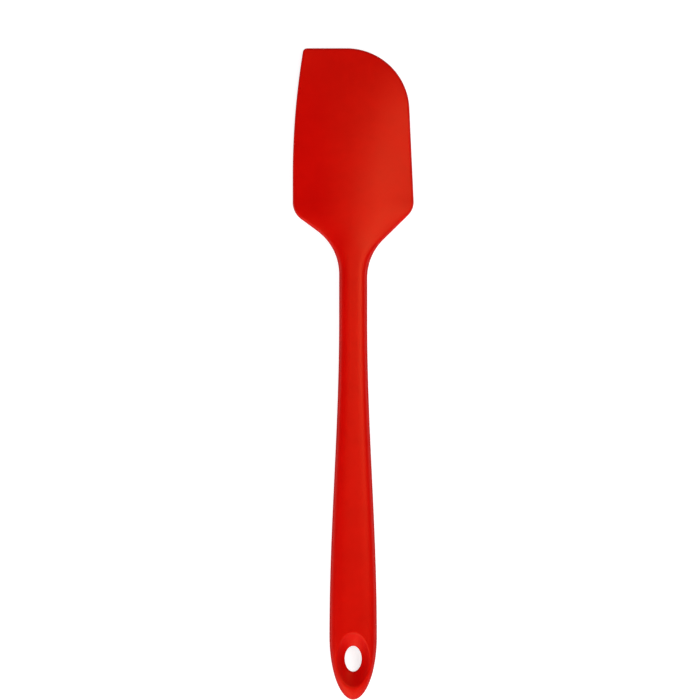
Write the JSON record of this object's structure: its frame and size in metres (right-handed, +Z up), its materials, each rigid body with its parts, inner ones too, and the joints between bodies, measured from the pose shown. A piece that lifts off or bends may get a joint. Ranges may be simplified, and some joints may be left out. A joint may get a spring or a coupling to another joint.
{
  "type": "dough scraper",
  "caption": "Seamless silicone dough scraper with a thin asymmetric blade, a slim neck and a tapering handle with a funnelled oval hanging hole, moulded over a stiff core.",
  "frame": {"origin": "on the surface that the tool lies on, under the middle of its length and width", "axes": "+Y from the hanging end to the blade's tip, +X to the side of the blade's rounded corner, +Z up out of the front face"},
  "size_m": [0.052, 0.28, 0.011],
  "materials": {
    "red_silicone": "satin moulded silicone",
    "natural_nylon": "as moulded, glass filled"
  },
  "bodies": {
    "root": {"silicone_body": "red_silicone", "nylon_core": "natural_nylon"}
  },
  "joints": []
}
